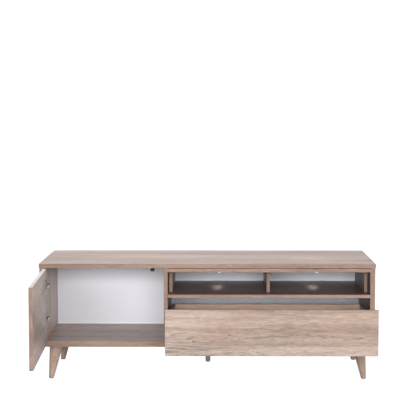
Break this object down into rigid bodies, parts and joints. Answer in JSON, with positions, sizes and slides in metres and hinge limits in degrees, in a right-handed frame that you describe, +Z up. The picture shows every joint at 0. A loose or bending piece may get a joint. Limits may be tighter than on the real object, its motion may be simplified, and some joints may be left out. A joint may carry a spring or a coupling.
{
  "type": "tv stand with doors",
  "caption": "Low media cabinet on tapered legs with a hinged door compartment, an open lit niche and a wide pull-out drawer.",
  "frame": {"origin": "on the floor, under the middle of the centre support leg", "axes": "+X towards the drawer end (the cabinet's right seen from the front), +Y towards the back, +Z up; the front faces -Y"},
  "size_m": [1.4, 1.0004, 0.492],
  "materials": {
    "oak_board": "satin wood-look melamine board with matching edge banding",
    "dark_board": "satin dark wood-look melamine board",
    "leg_wood": "turned wood, satin stain",
    "beech": "plain dowel wood",
    "white_board": "white-coated thin hardboard",
    "light_ring": "white satin paint",
    "light_lens": "frosted plastic lens",
    "black_plastic": "matt black plastic",
    "glide_rubber": "matt hard rubber",
    "zinc": "die-cast zinc, dull",
    "nickel": "nickel-plated pressed steel",
    "slide_steel": "zinc-plated steel"
  },
  "bodies": {
    "cabinet": {"top_panel": "oak_board", "bottom_panel": "oak_board", "left_side": "oak_board", "right_side": "oak_board", "partition": "oak_board", "niche_ceiling": "oak_board", "niche_left_side": "oak_board", "niche_divider": "oak_board", "niche_right_side": "oak_board", "niche_shelf": "dark_board", "back_left": "white_board", "back_right": "white_board", "front_left_leg": "leg_wood", "front_right_leg": "leg_wood", "rear_left_leg": "leg_wood", "rear_right_leg": "leg_wood", "centre_leg": "leg_wood", "leg_plates": "slide_steel", "leg_plate_screws": "slide_steel", "leg_bolts": "slide_steel", "leg_glides": "glide_rubber", "light_ring_left": "light_ring", "light_ring_right": "light_ring", "light_lens_left": "light_lens", "light_lens_right": "light_lens", "push_latch_body": "black_plastic", "push_latch_screws": "slide_steel", "hinge_arm_upper": "nickel", "hinge_arm_lower": "nickel", "hinge_plate_upper": "nickel", "hinge_plate_lower": "nickel", "hinge_plate_screws": "nickel", "hinge_arm_screws": "nickel", "cam_locks": "zinc", "cam_bolts": "zinc", "dowels": "beech", "slide_outer_left": "slide_steel", "slide_outer_right": "slide_steel", "slide_screws_cabinet": "slide_steel"},
    "door": {"door_panel": "oak_board", "hinge_cup_upper": "nickel", "hinge_cup_lower": "nickel", "hinge_cup_screws": "nickel", "hinge_pins": "nickel", "latch_strike": "nickel"},
    "drawer": {"drawer_front": "oak_board", "drawer_left_side": "dark_board", "drawer_right_side": "dark_board", "drawer_back": "oak_board", "drawer_bottom": "white_board", "slide_inner_left": "slide_steel", "slide_inner_right": "slide_steel", "slide_screws_drawer": "slide_steel", "drawer_front_screws": "slide_steel"},
    "left_slide_middle": {"slide_middle_left": "slide_steel"},
    "right_slide_middle": {"slide_middle_right": "slide_steel"},
    "latch_plunger": {"push_latch_plunger": "black_plastic"}
  },
  "joints": [
    {"name": "door_hinge", "type": "hinge", "parent": "cabinet", "child": "door", "pos_m": [-0.6792, -0.4, 0.3265], "axis": [0, 0, -1], "range_deg": [-87.5, 7.5]},
    {"name": "drawer_slide", "type": "slide", "parent": "cabinet", "child": "drawer", "axis": [0, -1, 0], "range_m": [-0.18, 0.15]},
    {"name": "left_middle_slide", "type": "slide", "parent": "cabinet", "child": "left_slide_middle", "axis": [0, -1, 0], "range_m": [-0.09, 0.075]},
    {"name": "right_middle_slide", "type": "slide", "parent": "cabinet", "child": "right_slide_middle", "axis": [0, -1, 0], "range_m": [-0.09, 0.075]},
    {"name": "latch_push", "type": "slide", "parent": "cabinet", "child": "latch_plunger", "axis": [0, 1, 0], "range_m": [0, 0.004], "stiffness_N_per_m": 300}
  ],
  "couplings": [
    {"joint": "left_middle_slide", "follows": "drawer_slide", "ratio": 0.5},
    {"joint": "right_middle_slide", "follows": "drawer_slide", "ratio": 0.5}
  ]
}
